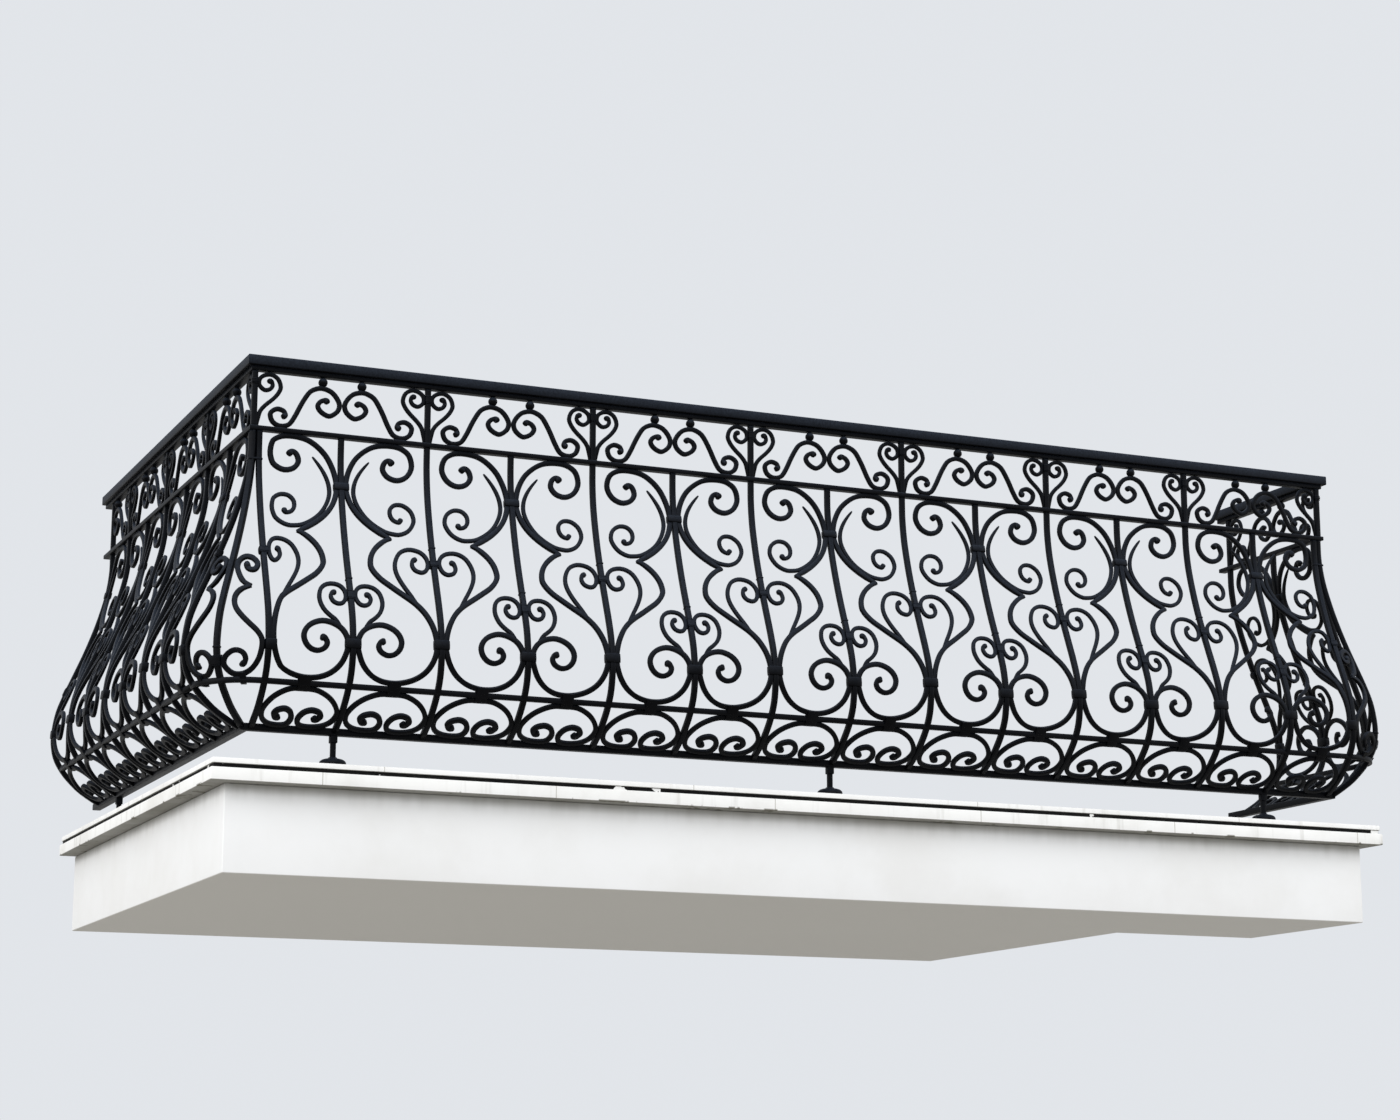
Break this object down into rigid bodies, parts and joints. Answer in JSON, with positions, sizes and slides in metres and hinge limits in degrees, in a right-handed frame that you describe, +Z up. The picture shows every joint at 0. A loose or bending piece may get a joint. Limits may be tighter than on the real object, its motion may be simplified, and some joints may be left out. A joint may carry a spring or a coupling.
{
  "type": "juliet balcony",
  "caption": "Wrought-iron balcony with a bellied scrollwork railing on three sides of a rendered L-shaped slab, made to stand in the corner between two walls.",
  "frame": {"origin": "on the slab's back face against the main wall, on the middle line of the front railing run, at the slab's mid height", "axes": "+Z up, -Y out from the wall towards the street, +X to the right seen from the front"},
  "size_m": [3.544, 1.847, 1.319],
  "materials": {
    "painted_iron": "satin",
    "rendered_concrete": "matte painted render",
    "coping": "matte painted stone",
    "topping": "matte"
  },
  "bodies": {
    "root": {"handrail_front": "painted_iron", "handrail_left": "painted_iron", "handrail_right": "painted_iron", "core_rail_front": "painted_iron", "core_rail_left": "painted_iron", "core_rail_right": "painted_iron", "upper_rail_front": "painted_iron", "upper_rail_left": "painted_iron", "upper_rail_right": "painted_iron", "belly_rail_front": "painted_iron", "belly_rail_left": "painted_iron", "belly_rail_right": "painted_iron", "bottom_rail_front": "painted_iron", "bottom_rail_left": "painted_iron", "bottom_rail_right": "painted_iron", "pickets_front": "painted_iron", "pickets_left": "painted_iron", "pickets_right": "painted_iron", "corner_pickets_left": "painted_iron", "corner_pickets_right": "painted_iron", "frieze_front": "painted_iron", "frieze_left": "painted_iron", "frieze_right": "painted_iron", "scrolls_front_1": "painted_iron", "scrolls_front_2": "painted_iron", "scrolls_front_3": "painted_iron", "scrolls_front_4": "painted_iron", "scrolls_left_1": "painted_iron", "scrolls_left_2": "painted_iron", "scrolls_right": "painted_iron", "corner_scrolls_left": "painted_iron", "corner_scrolls_right": "painted_iron", "border_front": "painted_iron", "border_left": "painted_iron", "border_right": "painted_iron", "collars_front": "painted_iron", "collars_left": "painted_iron", "collars_right": "painted_iron", "feet_front": "painted_iron", "foot_left": "painted_iron", "slab": "rendered_concrete", "drip_course": "coping", "deck_topping": "topping"}
  },
  "joints": []
}
